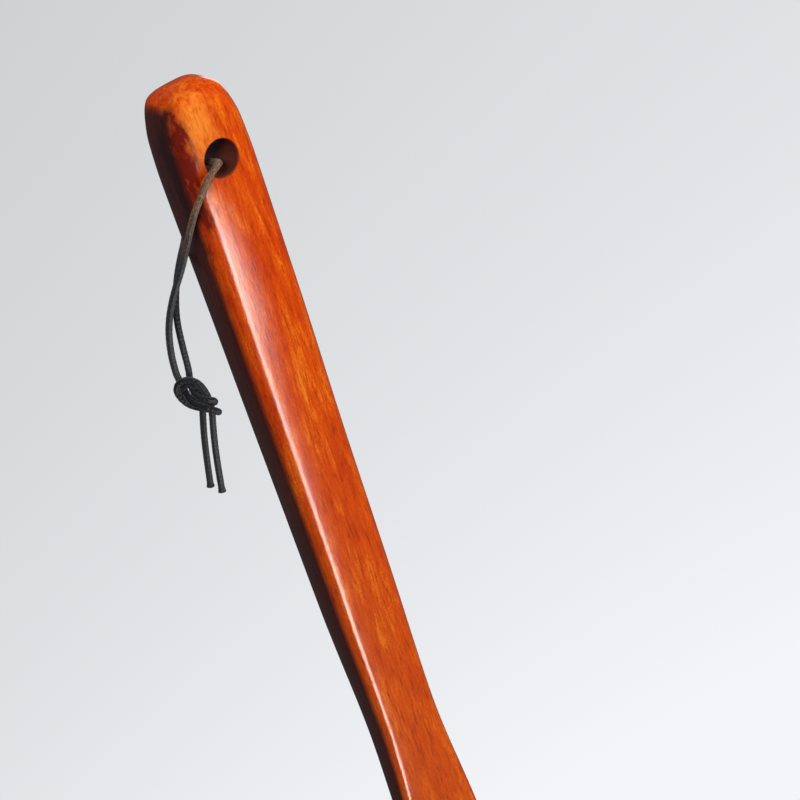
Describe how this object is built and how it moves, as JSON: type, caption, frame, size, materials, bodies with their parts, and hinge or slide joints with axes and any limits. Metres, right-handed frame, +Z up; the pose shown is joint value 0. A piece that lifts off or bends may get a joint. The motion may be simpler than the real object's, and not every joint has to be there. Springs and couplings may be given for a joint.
{
  "type": "long shoehorn",
  "caption": "Long solid wooden shoehorn: rounded straight handle, slim waist, scooped curved blade, and a knotted dark cord loop through a hanging hole near the top.",
  "frame": {"origin": "on the handle's centreline at the middle of the grip, 110 mm down from the top end", "axes": "+Z up with gravity along -Z; the shoehorn leans 20.5 degrees in the XZ plane, top towards -X; +Y towards the back, and the scooped front faces -Y"},
  "size_m": [0.214, 0.0481, 0.5191],
  "materials": {
    "lacquered_wood": "red-orange stain under a satin-gloss lacquer, fine grain along the length",
    "waxed_cord": "waxed cotton cord, charcoal black, low sheen"
  },
  "bodies": {
    "body": {"shoehorn_body": "lacquered_wood"},
    "cord": {"cord_front_run": "waxed_cord", "cord_back_run": "waxed_cord", "cord_knot": "waxed_cord", "cord_tail_left": "waxed_cord", "cord_tail_right": "waxed_cord"}
  },
  "joints": [
    {"name": "cord_swing", "type": "hinge", "parent": "body", "child": "cord", "pos_m": [-0.03017, 0, 0.07859], "axis": [0, 1, 0], "range_deg": [0, 85]}
  ]
}
